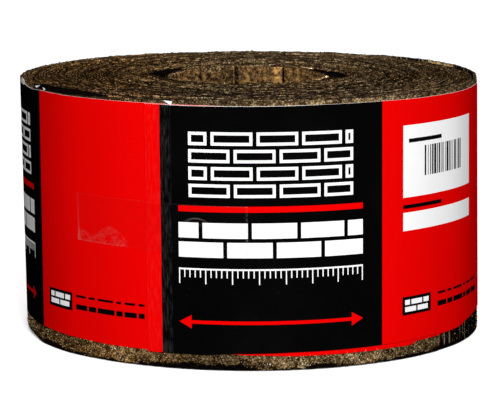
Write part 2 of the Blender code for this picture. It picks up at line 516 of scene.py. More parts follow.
class NodeSheet:
    """A short way to lay out shader nodes in a material or a group."""

    def __init__(self, tree):
        self.tree = tree

    def feed(self, socket, value):
        """Joins a socket to another, or sets it to a number, vector or colour."""
        if isinstance(value, bpy.types.NodeSocket):
            self.tree.links.new(value, socket)
        elif socket.type == "RGBA":
            socket.default_value = (*value, 1.0)
        else:
            socket.default_value = value

    def add(self, kind, inputs, **settings):
        """A node with its settings, and its inputs fed."""
        node = self.tree.nodes.new(kind)
        for key, value in settings.items():
            setattr(node, key, value)
        for key, value in inputs.items():
            self.feed(node.inputs[key], value)
        return node

    def group(self, build, inputs):
        """A node of a shared group, which is built the first time that it is asked for."""
        name = build.__name__
        tree = bpy.data.node_groups.get(name) or build(name)
        return self.add("ShaderNodeGroup", inputs, node_tree=tree).outputs

    def maths(self, operation, a, b=0.0, c=0.0, clamp=False):
        """One Math node's result."""
        inputs = {0: a, 1: b, 2: c}
        return self.add("ShaderNodeMath", inputs, operation=operation, use_clamp=clamp).outputs[0]

    def times(self, a, b, clamp=False):
        """Two values multiplied."""
        return self.maths("MULTIPLY", a, b, clamp=clamp)

    def scaled(self, value, factor, plus, clamp=False):
        """A value times a factor, plus another value."""
        return self.maths("MULTIPLY_ADD", value, factor, plus, clamp=clamp)

    def axis(self, vector, letter):
        """One coordinate of a vector."""
        return self.add("ShaderNodeSeparateXYZ", {"Vector": vector}).outputs[letter]

    def mix(self, factor, a, b, blend="MIX"):
        """A colour between two others, or one laid on another by the blend."""
        inputs = {0: factor, 6: a, 7: b}
        node = self.add("ShaderNodeMix", {}, data_type="RGBA", blend_type=blend)
        for key, value in inputs.items():
            self.feed(node.inputs[key], value)
        return node.outputs[2]

    def fade(self, value, low, high, start=0.0, end=1.0):
        """A value stretched from low..high to start..end and held there."""
        inputs = {"Value": value, "From Min": low, "From Max": high, "To Min": start, "To Max": end}
        return self.add("ShaderNodeMapRange", inputs, clamp=True).outputs["Result"]

    def noise(self, vector, scale, detail=2.0, roughness=0.5):
        """Noise from 0 to 1 at so many cells a metre."""
        inputs = {"Vector": vector, "Scale": scale, "Detail": detail, "Roughness": roughness}
        return self.add("ShaderNodeTexNoise", inputs).outputs["Fac"]

    def stretched(self, vector, scale):
        """A vector multiplied on each axis."""
        return self.add("ShaderNodeMapping", {"Vector": vector, "Scale": scale}).outputs["Vector"]

    def ramp(self, value, stops):
        """A colour picked along a row of (place, colour) stops."""
        node = self.add("ShaderNodeValToRGB", {"Fac": value})
        elements = node.color_ramp.elements
        while len(elements) < len(stops):
            elements.new(0.5)
        for element, (place, shade) in zip(elements, stops):
            element.position = place
            element.color = (*shade, 1.0)
        return node.outputs["Color"]

    def bump(self, height, distance, strength=1.0):
        """The normal of a relief that is so many metres high."""
        inputs = {"Height": height, "Distance": distance, "Strength": strength}
        return self.add("ShaderNodeBump", inputs).outputs["Normal"]

    def surface(self):
        """The piece's own UV map: metres along and across its surface."""
        return self.add("ShaderNodeUVMap", {}, uv_map="Surface").outputs["UV"]

    def solid(self):
        """Object coordinates."""
        return self.add("ShaderNodeTexCoord", {}).outputs["Object"]

    def stored(self, name):
        """A number stored on the piece's points."""
        return self.add("ShaderNodeAttribute", {}, attribute_name=name).outputs["Fac"]


SOCKETS = {"value": "NodeSocketFloat", "vector": "NodeSocketVector", "colour": "NodeSocketColor"}


def new_group(name, inputs, outputs):
    """A shader node group with named sockets: its tree, its sheet, its input and its output."""
    tree = bpy.data.node_groups.new(name, "ShaderNodeTree")
    for direction, sockets in (("INPUT", inputs), ("OUTPUT", outputs)):
        for label, kind in sockets.items():
            tree.interface.new_socket(label, in_out=direction, socket_type=SOCKETS[kind])
    source = tree.nodes.new("NodeGroupInput").outputs
    return tree, NodeSheet(tree), source, tree.nodes.new("NodeGroupOutput").inputs


def stone_colours(name):
    """The colour of a mineral grain, from a tone between 0 and 1."""
    tree, sheet, source, out = new_group(name, {"Tone": "value"}, {"Colour": "colour"})
    stops = (
        (0.0, (0.004, 0.003, 0.002)),
        (0.22, (0.020, 0.010, 0.003)),
        (0.42, (0.070, 0.033, 0.009)),
        (0.60, (0.190, 0.100, 0.032)),
        (0.82, (0.400, 0.255, 0.115)),
        (0.97, (0.640, 0.540, 0.380)),
    )
    sheet.feed(out["Colour"], sheet.ramp(source["Tone"], stops))
    return tree


def aged_tint(name):
    """A colour with painted shade on the roll's upper end: greyer and darker on its front, and a
    little darker and more even on its back, where the shadows between the turns are painted lighter."""
    tree, sheet, source, out = new_group(name, {"Colour": "colour"}, {"Colour": "colour"})
    solid = sheet.solid()
    depth = sheet.axis(solid, "Y")
    upper = sheet.fade(sheet.axis(solid, "Z"), 98.7 * MM, 99.2 * MM)
    front = sheet.times(upper, sheet.fade(depth, -34 * MM, -60 * MM))
    behind = sheet.times(upper, sheet.fade(depth, 35 * MM, 60 * MM))
    tinted = sheet.mix(front, source["Colour"], (0.50, 0.51, 0.78), "MULTIPLY")
    tinted = sheet.mix(behind, tinted, (0.70, 0.68, 0.74), "MULTIPLY")
    tinted = sheet.mix(sheet.times(front, 0.35), tinted, (0.017, 0.011, 0.009))
    tinted = sheet.mix(sheet.times(behind, 0.45), tinted, (0.042, 0.027, 0.016))
    sheet.feed(out["Colour"], tinted)
    return tree


def granules(name):
    """Packed grains: each has its own tone and stands up from the dark between them."""
    inputs = {"Vector": "vector", "Grains a Metre": "value"}
    tree, sheet, source, out = new_group(name, inputs, {"Tone": "value", "Body": "value"})
    inputs = {"Vector": source["Vector"], "Scale": source["Grains a Metre"]}
    cells = sheet.add("ShaderNodeTexVoronoi", inputs, feature="F1").outputs
    tone = sheet.add("ShaderNodeSeparateColor", {"Color": cells["Color"]}).outputs[0]
    sheet.feed(out["Tone"], tone)
    sheet.feed(out["Body"], sheet.fade(cells["Distance"], 0.62, 0.15))
    return tree


def streaks(name):
    """Short fibres that run along the surface's first axis."""
    inputs = {"Vector": "vector", "Streaks a Metre": "value", "Share": "value"}
    tree, sheet, source, out = new_group(name, inputs, {"Mask": "value", "Relief": "value"})
    lengthwise = sheet.stretched(source["Vector"], (0.16, 1.0, 1.0))
    streak = sheet.noise(lengthwise, source["Streaks a Metre"], 3.0, 0.6)
    above = sheet.scaled(source["Share"], 0.4, -0.72)
    above = sheet.maths("ADD", above, streak)
    sheet.feed(out["Mask"], sheet.times(above, 14.0, clamp=True))
    sheet.feed(out["Relief"], streak)
    return tree


def paper_wear(name):
    """Handled paper: broad smudges, fine scuffs and the tooth of its surface."""
    inputs = {"Vector": "vector", "Smudge": "value", "Scuff": "value"}
    outputs = {"Smudges": "value", "Scuffs": "value", "Tooth": "value"}
    tree, sheet, source, out = new_group(name, inputs, outputs)
    broad = sheet.noise(source["Vector"], 38.0, 3.0, 0.55)
    smudges = sheet.times(sheet.fade(broad, 0.42, 0.72), source["Smudge"])
    lengthwise = sheet.stretched(source["Vector"], (0.25, 1.0, 1.0))
    fine = sheet.fade(sheet.noise(lengthwise, 620.0, 4.0, 0.7), 0.66, 0.78)
    sheet.feed(out["Smudges"], smudges)
    sheet.feed(out["Scuffs"], sheet.times(fine, source["Scuff"]))
    sheet.feed(out["Tooth"], sheet.noise(source["Vector"], 2600.0, 2.0))
    return tree


def new_material(name, gloss=0.0):
    """An empty node material: its sheet, its shader's inputs and the material itself. The felt
    and the inks are so matt that they have no gloss of their own."""
    material = bpy.data.materials.new(name)
    material.use_nodes = True
    shader = material.node_tree.nodes["Principled BSDF"]
    shader.inputs["Specular IOR Level"].default_value = gloss
    return NodeSheet(material.node_tree), shader.inputs, material


# The specular levels of the film and of the floor
FILM_GLOSS, FLOOR_GLOSS = 0.1, 0.5


def felt_material(coil):
    """Bitumen felt: dark and fibrous on its cut edges, granular and paler on its faces, bare tar
    where the stored numbers say, which is partly painted shade with painted sheen on light ribs,
    amber on the bore's wall, and black below the stored black height, which is painted shade where it
    reaches all the way up."""
    sheet, shader, material = new_material("bitumen_felt")
    tar, bitumen, felt, fleck = (
        tuple(shade) for shade in (coil.tar, coil.bitumen, coil.felt, coil.fleck)
    )
    place = sheet.surface()
    solid = sheet.solid()
    coarse = sheet.noise(solid, 260.0, 3.0, 0.6)
    fine = sheet.noise(solid, 1500.0, 3.0, 0.65)
    fibres = sheet.group(streaks, {"Vector": place, "Streaks a Metre": 2400.0, "Share": 0.42})
    grains = sheet.group(granules, {"Vector": place, "Grains a Metre": 1500.0})

    golden = sheet.ramp(
        coarse, ((0.41, tar), (0.50, bitumen), (0.60, felt), (0.73, (0.100, 0.048, 0.012)))
    )
    dull = sheet.ramp(
        coarse,
        ((0.41, tar), (0.51, (0.007, 0.005, 0.004)), (0.61, (0.018, 0.011, 0.008)),
         (0.75, (0.055, 0.036, 0.024))),
    )
    zone = sheet.fade(sheet.noise(solid, 30.0, 2.0), 0.44, 0.58)
    edge = sheet.mix(zone, dull, golden)
    edge = sheet.mix(sheet.times(fibres["Mask"], 0.2), edge, fleck)
    bright = sheet.times(sheet.fade(fine, 0.58, 0.66), 0.35)
    edge = sheet.mix(bright, edge, (0.34, 0.20, 0.085))
    edge = sheet.mix(sheet.fade(fine, 0.50, 0.42), edge, tar)

    patches = sheet.noise(solid, 330.0, 4.0, 0.65)
    side = sheet.ramp(
        patches,
        ((0.37, bitumen), (0.45, (0.115, 0.068, 0.026)), (0.54, (0.300, 0.195, 0.085)),
         (0.66, (0.560, 0.440, 0.260))),
    )
    yellowed = sheet.fade(sheet.axis(solid, "X"), -15 * MM, -55 * MM)
    side = sheet.mix(yellowed, side, (1.25, 0.94, 0.55), "MULTIPLY")
    stone = sheet.group(stone_colours, {"Tone": grains["Tone"]})["Colour"]
    side = sheet.mix(sheet.times(grains["Body"], 0.5), side, stone)
    side = sheet.mix(sheet.fade(grains["Body"], 0.35, 0.0, 0.0, 0.8), side, tar)
    # Bare tar, partly painted shade where it lies in shade past the free end, with painted sheen
    # along light ribs
    sheen_ribs = sheet.noise(sheet.stretched(place, (1.0, 0.07, 1.0)), 800.0, 3.0)
    tarred = sheet.mix(sheet.fade(sheen_ribs, 0.55, 0.65), tar, (0.26, 0.19, 0.12))
    side = sheet.mix(sheet.stored("tar"), side, tarred)
    # Black below the stored height: a band along the foot, and painted shade all the way up where a
    # face lies in shade
    level = sheet.maths("SUBTRACT", sheet.axis(solid, "Z"), sheet.stored("black_height"))
    level = sheet.scaled(coarse, -4 * MM, level)
    side = sheet.mix(sheet.fade(level, -1.7 * MM, -2.3 * MM), side, tar)

    aged = sheet.noise(sheet.stretched(place, (1.0, 1.2, 1.0)), 480.0, 4.0, 0.75)
    aged = sheet.fade(aged, 0.25, 0.75, 0.17, 0.81)
    amber = sheet.stored("amber")
    aged = sheet.scaled(amber, 0.34, aged)
    wall = sheet.ramp(
        aged,
        ((0.51, tar), (0.62, (0.036, 0.021, 0.009)), (0.76, (0.150, 0.082, 0.028)),
         (0.95, (0.440, 0.225, 0.070))),
    )
    side = sheet.mix(sheet.fade(amber, 0.0, 0.06), side, wall)

    shade = sheet.stored("tone")
    # Painted shade on the roll's upper end, at its front and its back
    edge = sheet.group(aged_tint, {"Colour": edge})["Colour"]
    base = sheet.mix(1.0, sheet.mix(sheet.stored("face"), edge, side), shade, "MULTIPLY")
    sheet.feed(shader["Base Color"], base)
    sheet.feed(shader["Roughness"], sheet.fade(coarse, 0.3, 0.7, 0.72, 0.95))
    relief = sheet.maths("ADD", grains["Body"], fibres["Relief"])
    relief = sheet.scaled(fine, 1.6, relief)
    sheet.feed(shader["Normal"], sheet.bump(relief, 0.16 * MM, 0.9))
    return material


def loose_material(name):
    """Loose grains or fibres: each has the stored tone's colour, with a little mottle."""
    sheet, shader, material = new_material(name)
    mottle = sheet.noise(sheet.solid(), 3000.0, 2.0)
    tone = sheet.scaled(mottle, 0.3, -0.15)
    tone = sheet.maths("ADD", tone, sheet.stored("tone"), clamp=True)
    base = sheet.group(stone_colours, {"Tone": tone})["Colour"]
    base = sheet.group(aged_tint, {"Colour": base})["Colour"]
    sheet.feed(shader["Base Color"], base)
    sheet.feed(shader["Roughness"], sheet.fade(mottle, 0.3, 0.7, 0.6, 0.9))
    sheet.feed(shader["Normal"], sheet.bump(mottle, 0.05 * MM, 0.6))
    return material


def ink_material(name, ink, smudge_colour, smudge, scuff, hazed):
    """Satin ink on paper: smudged, scuffed, and hazed by glue where the stored haze says, the haze
    lighter along crinkles as a painted sheen on its cockles.
    """
    sheet, shader, material = new_material(name)
    wear = sheet.group(paper_wear, {"Vector": sheet.solid(), "Smudge": smudge, "Scuff": scuff})
    base = sheet.mix(wear["Smudges"], ink, smudge_colour)
    base = sheet.mix(wear["Scuffs"], base, (0.45, 0.42, 0.40))
    # Painted sheen: the glue haze shows along crinkles, standing in for light on the cockles
    crinkle_sheen = sheet.noise(sheet.stretched(sheet.surface(), (1.0, 0.14, 1.0)), 1400.0, 3.0, 0.6)
    hazed = sheet.fade(crinkle_sheen, 0.45, 0.68, 0, hazed)
    haze = sheet.times(sheet.stored("haze"), hazed)
    base = sheet.mix(haze, base, (0.30, 0.28, 0.28))
    sheet.feed(shader["Base Color"], base)
    sheet.feed(shader["Roughness"], sheet.scaled(wear["Smudges"], 0.25, 0.42))
    sheet.feed(shader["Normal"], sheet.bump(wear["Tooth"], 0.02 * MM, 0.5))
    return material


def label_inks(settings):
    """The label's three materials, shared by the paper and its print: red, black and white."""
    found = [bpy.data.materials.get(name) for name in ("red_ink", "black_ink", "white_paper")]
    if all(found):
        return found
    return [
        ink_material("red_ink", settings.red, (0.56, 0.002, 0.002), 0.16, 0.004, 0.02),
        ink_material("black_ink", settings.black, (0.0035, 0.003, 0.003), 0.5, 0.012, 0.06),
        ink_material("white_paper", settings.white, (0.80, 0.79, 0.77), 0.3, 0.05, 0.0),
    ]


def film_material(tape):
    """Clear film: nearly unseen where it is stuck down, hazy over trapped air and at its rim, and
    pale with painted highlights along its creases."""
    sheet, shader, material = new_material("clear_film", FILM_GLOSS)
    cloud = sheet.noise(sheet.surface(), 1300.0, 4.0, 0.7)
    patch = sheet.noise(sheet.surface(), 260.0, 2.0)
    bright = sheet.fade(cloud, 0.44, 0.62)
    dusty = sheet.times(sheet.fade(patch, 0.36, 0.46), sheet.fade(cloud, 0.4, 0.6))
    dusty = sheet.times(sheet.stored("bubble"), dusty)
    rim = sheet.times(sheet.stored("rim"), sheet.fade(cloud, 0.42, 0.6, 0.1, 1.0))
    # Painted highlights along the creases
    crease = sheet.stored("crease")
    alpha = sheet.scaled(dusty, 0.055, 0.012)
    alpha = sheet.scaled(rim, 0.1, alpha)
    alpha = sheet.scaled(crease, 0.12, alpha, clamp=True)
    pale = sheet.times(dusty, sheet.scaled(bright, 0.6, 0.3))
    pale = sheet.maths("ADD", rim, pale)
    pale = sheet.maths("ADD", pale, crease, clamp=True)
    sheet.feed(shader["Base Color"], sheet.mix(pale, (0.02, 0.02, 0.02), tape.film))
    sheet.feed(shader["Alpha"], alpha)
    sheet.feed(shader["Roughness"], sheet.fade(cloud, 0.3, 0.7, 0.15, 0.4))
    sheet.feed(shader["Normal"], sheet.bump(cloud, 0.06 * MM, 0.7))
    return material


# The corners of the strip's section, in order: the inner face's foot, two on the lower edge, the
# outer face's foot and top, two on the upper edge, and the inner face's top
CORNERS = 8
OUTER_FOOT, INNER_TOP = 3, 7
OUTER_RIM, UPPER_EDGE = slice(4, 6), slice(5, 7)

# The strip's first stretch in metres and its number of sections, which lie closer together since
# they show in the bore, and the bevel of a section's corners
FINE_LENGTH, FINE_STATIONS = 0.2, 500
BEVEL = 0.16 * MM

# How uneven the edges are, in millimetres: both of them, the upper one's tufts as (mean, spread),
# the corners across them, and how far the lower one hangs under its line
RAGGED, TUFTS, FRAYED, HANGING = 0.13, (-0.15, 0.17), 0.05, 0.07

# The free end's direction in degrees, how far the tarred face beyond it reaches, and the share
# of grains that stick to it
FREE_END_DEGREES, TARRED_END, TARRED_SHARE = 52, 125, 0.15

# How light the last turn's outer face is at its top and at its foot, by (degrees, factor), and
# how high the black band along its foot stands, by (degrees, millimetres)
UPPER_TONE = (
    (-180, 0.8), (-85, 0.7), (-60, 0.4), (-34, 0.4), (-27, 0.7), (-18, 0.6), (-4, 0.6), (8, 1.0),
    (30, 1.3), (36, 1.0), (52, 0.8), (180, 0.8),
)
LOWER_TONE = (
    (-180, 0.9), (-80, 1.4), (-66, 1.1), (-50, 1.0), (-36, 1.4), (-25, 1.1), (-12, 0.7), (0, 0.9),
    (3, 1.4), (12, 1.3), (20, 1.1), (24, 1.7), (32, 1.7), (38, 1.1), (52, 1.0), (180, 0.9),
)
BLACK_FOOT = (
    (-180, 1.5), (-95, 1.5), (-80, 2.6), (-66, 1.6), (-58, 2.3), (-46, 1.0), (-30, 0.7),
    (-24, 1.6), (-14, 2.2), (-3, 2.3), (3, 0.7), (12, 0.8), (15, 2.1), (19, 2.0), (23, 1.0),
    (30, 0.6), (35, 1.5), (51, 1.7), (70, 1.5), (180, 1.5),
)
# How much lighter the upper edge is, as the power of e: painted highlights on the lips of the loose
# turns, by millimetres along the strip, and painted shade with tar round the last turn. The streak
# is the share of the last turn's inner face that shows a painted highlight instead of tar
LIT_LIPS = (
    (0, 0.7), (39, 0.6), (70, 0.9), (110, 1.0), (132, 1.6), (143, 2.5), (161, 2.6), (168, 0.7),
    (220, 0.0),
)
OUTER_LIP_TAR_AND_SHADE = ((-180, 0), (90, 0), (98, -1.8), (120, -1.8), (126, 0), (180, 0))
HIGHLIGHT_STREAK = ((-180, 0), (108, 0), (111, 1), (121, 1), (124, 0), (180, 0))
# How amber the wall of the bore is, by (millimetres along the strip, share), with painted shade in
# the crease at 19.4 to 20.9 mm and a painted highlight on its edge at 21.2 mm
AMBER_WITH_PAINTED_CREASE = (
    (0, 0.1), (0.8, 0.9), (3.6, 0.86), (4.6, 0.56), (7.2, 0.56), (8.2, 0.54), (19.0, 0.58),
    (19.4, 0.06), (20.9, 0.06), (21.2, 0.75), (21.6, 0.3), (25.5, 0.3), (28, 0.45),
    (36, 0.5), (39, 0.55), (60, 0.5), (150, 0.3), (170, 0.5), (180, 0.66), (199, 0.6), (203, 0.0),
)

# What the lightness drifts by, along the turns and along the strip, as `drifts` has it. The rest
# are powers of e too: everywhere, painted shade at the front and painted light at the back, painted
# shade on the loose turns in the hollows at the sides, painted highlights beside them, the painted
# highlight in the streak, and the spread of chance. The strip's inner end has a lightness of its own
TURN_DRIFTS = ((0.8, 15.1, 2), (0.6, 3.3, 6), (0.5, 41.0, 10))
LENGTH_DRIFTS = ((0.5, 11 * MM, 3), (0.5, 3.4 * MM, 9))
EVEN_TONE, FRONT_SHADE_BACK_LIGHT, HOLLOW_SHADE, LIP_HIGHLIGHT, STREAK_HIGHLIGHT = -0.62, -0.42, -1.3, 3.0, 1.1
ROUGH_TONE, END_TONE = 0.34, 0.08

# Each corner's share of the tar, which is partly painted shade, on the last turn's outer face, of
# that on its inner face past the free end, of the uneven lightness and of the amber wall, and 1
# where it is on a face
OUTER_TAR_AND_SHADE = np.array((0, 0, 1, 1, 0.3, 0.3, 0, 0))
INNER_TAR_AND_SHADE = np.array((1, 1, 0, 0, 0, 0, 0.5, 1))
UNEVEN = np.array((0.1, 1, 1, 0.1, 0.1, 1, 1, 0.1))
WALL = np.array((1, 1, 0, 0, 0, 0, 1, 1))
ON_FACES = (1.0, 0, 0, 1, 1, 0, 0, 1)


def strip_wear(coil, along, unrolled, chance):
    """Named numbers for each corner of the strip's sections: bare tar past the free end, which is
    partly painted shade; how light the felt is, which is e to the power of drifts, chance, painted
    shade at the front and on the loose turns in the hollows, painted light at the back, painted
    highlights on the lips of the loose turns and beside them, and painted shade with tar on the last
    turn's upper edge at the back; how high the black stands on it, a band along the foot and painted
    shade all the way up where a face lies in shade; and how amber the wall of the bore is."""
    direction, degrees = coil.direction(unrolled), coil.degrees(unrolled)
    side = np.sin(direction)
    past = unrolled - coil.last + tau
    outermost = past > 0
    loose_end = unrolled - coil.coil_start
    streak = coil.on_last_turn(unrolled, HIGHLIGHT_STREAK)

    # Bare tar past the free end, partly painted shade
    bare = np.where(outermost, 1 - eased((past - radians(60)) / radians(25)), 0.0)
    tar = bare[:, None] * OUTER_TAR_AND_SHADE
    tar = tar + (outermost & (degrees > FREE_END_DEGREES))[:, None] * INNER_TAR_AND_SHADE
    tar[:, INNER_TOP] *= 1 - streak

    broad = drifts(unrolled, TURN_DRIFTS, coil.seed) + drifts(along, LENGTH_DRIFTS, coil.seed)
    # Painted shade towards the front of the ends, and painted light towards the back
    broad = broad + EVEN_TONE + FRONT_SHADE_BACK_LIGHT * np.cos(direction)
    right = eased((side - 0.35) / 0.4)
    left = eased((-side - 0.7) / 0.2)
    loose = (unrolled > tau * 0.9) & (unrolled < coil.coil_start)
    # Painted shade on the loose turns in the hollows at the sides
    broad = broad + HOLLOW_SHADE * loose * (right + left)
    rough = chance.normal(0, ROUGH_TONE, (len(along), CORNERS))
    tone = np.exp(UNEVEN * (broad[:, None] + rough))
    tone[0] = END_TONE
    beside = (loose_end > 0) & (loose_end < tau)
    # Painted highlights on the lips of the loose turns and on the coil's first turn beside them, and
    # painted shade with tar on the last turn's upper edge at the back
    lit = LIP_HIGHLIGHT * beside * right * eased(0.3 - np.cos(direction))
    lit = lit + through(LIT_LIPS, along / MM) + coil.on_last_turn(unrolled, OUTER_LIP_TAR_AND_SHADE)
    tone[:, UPPER_EDGE] *= np.exp(lit)[:, None]
    # A painted highlight along the streak
    tone[:, INNER_TOP] *= np.exp(STREAK_HIGHLIGHT * streak)
    tone[:, OUTER_FOOT] *= coil.on_last_turn(unrolled, LOWER_TONE, 1.0)
    tone[:, OUTER_RIM] *= coil.on_last_turn(unrolled, UPPER_TONE, 1.0)[:, None]

    # Painted shade: black all the way up the faces that lie in shade, inside the slipped stretch of
    # the last turn and beside the hollows round the loose turns
    painted_shade = (past < 0) & (past > -tau) & (degrees > -68) & (degrees < -36)
    painted_shade = painted_shade | ((np.abs(loose_end) < tau) & (np.abs(side) > 0.78))
    black_height = coil.on_last_turn(unrolled, BLACK_FOOT) * MM + painted_shade * 2 * coil.width
    amber = through(AMBER_WITH_PAINTED_CREASE, along / MM)[:, None] * WALL
    return {"tar": tar, "tone": tone, "black_height": np.repeat(black_height, CORNERS), "amber": amber}


def build_strip(settings):
    """The wound strip: an eight-sided section with bevelled corners carried along the spiral,
    its edges made uneven by chance."""
    coil = Winding(settings)
    fine = np.linspace(0, FINE_LENGTH, FINE_STATIONS, endpoint=False)
    rest = np.linspace(FINE_LENGTH, coil.length, settings.stations - FINE_STATIONS)
    along = np.concatenate((fine, rest))
    unrolled = coil.unrolled(along)
    chance = np.random.default_rng(coil.seed + 1)
    ragged = chance.uniform(-RAGGED, RAGGED, (2, 2, len(along))) * MM
    ragged[1] += np.maximum(chance.normal(*TUFTS, (2, len(along))), 0.0) * MM
    frayed = chance.uniform(-FRAYED, FRAYED, (len(along), 4)) * MM
    foot, top = coil.foot(unrolled), coil.top(unrolled)
    thick = coil.thickness
    inset = np.array((0, BEVEL, thick - BEVEL, thick, thick, thick - BEVEL, BEVEL, 0))
    across = np.tile(inset, (len(along), 1))
    across[:, (1, 2, 5, 6)] += frayed
    low = [np.maximum(foot + edge - HANGING * MM, 0.0) for edge in ragged[0]]
    high = [top + edge for edge in ragged[1]]
    shoulder = foot + BEVEL, top - BEVEL
    height = np.stack((shoulder[0], *low, shoulder[0], shoulder[1], *high, shoulder[1]), axis=1)
    radius = coil.radius(unrolled)[:, None] + across
    points = coil.place(coil.direction(unrolled)[:, None], radius, height)

    girth = np.cumsum((0, BEVEL, thick, BEVEL, coil.width, BEVEL, thick, BEVEL))
    strip = add_piece(
        "dpc_strip", points, swept(len(along), CORNERS), [felt_material(settings)],
        uv=joined(along[:, None], girth), face=np.tile(ON_FACES, (len(along), 1)),
        **strip_wear(coil, along, unrolled, chance),
    )
    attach(strip, "root")
    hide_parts("dpc_roll")


def random_turns(chance, number):
    """Evenly spread rotations: the matrices of random unit quaternions."""
    parts = chance.normal(size=(4, number))
    w, x, y, z = parts / np.linalg.norm(parts, axis=0)
    rows = (
        (1 - 2 * (y * y + z * z), 2 * (x * y - w * z), 2 * (x * z + w * y)),
        (2 * (x * y + w * z), 1 - 2 * (x * x + z * z), 2 * (y * z - w * x)),
        (2 * (x * z - w * y), 2 * (y * z + w * x), 1 - 2 * (x * x + y * y)),
    )
    return np.stack([np.stack(row, axis=-1) for row in rows], axis=-2)


def copies(centres, frames, shapes, triangles):
    """Many small shapes: each centre plus its own shape's points, turned by its frame."""
    points = centres[:, None] + np.einsum("nij,nkj->nki", frames, shapes)
    return points, repeated(triangles, len(centres), shapes.shape[1])


# Loose turns that stand this far aside bear no grains, nor do the last turns near this direction,
# in degrees and half width. The rest is the share of grains on the upper end and the lower margin
ASIDE, CLEAN_RIM, CLEAN_HALF, CLEAN_TURNS = 0.55, 112, 16, 2
UPPER_SHARE, LOWER_MARGIN_SHARE = 0.7, 0.72


def end_places(coil, chance, number):
    """Random places on the two ends of the coil, most of them on the upper: the direction, the
    radius, the height, and 1 where the end faces up or -1 down."""
    unrolled = coil.unrolled(chance.uniform(0, coil.length, number))
    across = coil.thickness * chance.uniform(0, 1, number)
    aside = np.abs(np.sin(coil.direction(unrolled))) > ASIDE
    unrolled = unrolled + tau * coil.LOOSE_TURNS * (aside & (unrolled < coil.coil_start))
    clean = np.abs(coil.degrees(unrolled) - CLEAN_RIM) < CLEAN_HALF
    clean = clean & (unrolled > coil.last - CLEAN_TURNS * tau)
    unrolled = unrolled - CLEAN_TURNS * tau * clean
    upper = chance.uniform(size=number) < UPPER_SHARE
    height = np.where(upper, coil.top(unrolled), coil.foot(unrolled))
    radius = coil.radius(unrolled) + across
    return coil.direction(unrolled), radius, height, np.where(upper, 1.0, -1.0)


GRAIN = np.array(((1, 0, 0), (-1, 0, 0), (0, 1, 0), (0, -1, 0), (0, 0, 1), (0, 0, -1)), float)
GRAIN_FACES = np.array(
    ((0, 2, 4), (2, 1, 4), (1, 3, 4), (3, 0, 4), (2, 0, 5), (1, 2, 5), (3, 1, 5), (0, 3, 5))
)


def add_grains(name, centres, sizes, tones, chance):
    """Uneven eight-faced stones, each with its own size and tone."""
    number = len(centres)
    shapes = GRAIN * chance.uniform(0.55, 1.15, (number, 6, 1)) * sizes[:, None, None]
    points, triangles = copies(centres, random_turns(chance, number), shapes, GRAIN_FACES)
    points[..., 2] = np.maximum(points[..., 2], 0.0)
    found = bpy.data.materials.get("loose_grains") or loose_material("loose_grains")
    grains = add_piece(
        name, points, triangles, [found], smooth=False, tone=np.repeat(np.clip(tones, 0, 1), 6)
    )
    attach(grains, "root")


def build_grit(coil_settings, grit, label_settings):
    """Loose mineral grains on the bare margins of the outer face and on the two ends."""
    coil = Winding(coil_settings)
    wrap = Wrap(coil, label_settings)
    chance = np.random.default_rng(grit.seed)
    low = chance.uniform(size=grit.face_grains) < LOWER_MARGIN_SHARE
    direction = chance.uniform(-pi, pi, grit.face_grains)
    unrolled = coil.outermost(direction)
    under_label = (direction - wrap.free_end) % tau
    share = chance.uniform(size=grit.face_grains)
    foot, top = coil.foot(unrolled), coil.top(unrolled)
    label_foot, label_top = wrap.foot(under_label), wrap.top(under_label)
    # How far the grains keep off the strip's foot and the label's edges, and off the strip's top
    clear, top_clear = 0.2 * MM, 0.1 * MM
    lower = foot + clear + share * (label_foot - foot - 2 * clear)
    upper = label_top + clear + share * np.maximum(top - label_top - clear - top_clear, 0)
    height = np.where(low, lower, upper)
    centres = coil.place(direction, coil.outside(direction) + 0.02 * MM, height)
    degrees = np.degrees(direction)
    shade = np.where(low, through(LOWER_TONE, degrees), through(UPPER_TONE, degrees))
    black_height = through(BLACK_FOOT, degrees) * MM + chance.normal(0, 0.3, grit.face_grains) * MM
    tones = chance.uniform(-0.1, 0.9, grit.face_grains) * (0.5 + 0.5 * shade)
    tones = np.where(height < black_height, 0.12 * tones, tones)
    tarred = (degrees > FREE_END_DEGREES) & (degrees < TARRED_END)
    sizes = grit.grain_size / 2 * np.minimum(chance.lognormal(-0.35, 0.38, grit.face_grains), 1.8)
    kept = ~tarred | (chance.uniform(size=grit.face_grains) < TARRED_SHARE)
    add_grains("felt_grit", centres[kept], sizes[kept], tones[kept], chance)

    number = grit.end_grains
    direction, radius, height, facing = end_places(coil, chance, number)
    height = np.maximum(height + facing * chance.uniform(0.0, 0.12, number) * MM, 0.1 * MM)
    sizes = grit.end_grain_size / 2 * np.minimum(chance.lognormal(-0.45, 0.45, number), 1.7)
    tones = chance.uniform(0, 1, number) ** 3.4 * 0.78
    add_grains("end_grit", coil.place(direction, radius, height), sizes, tones, chance)


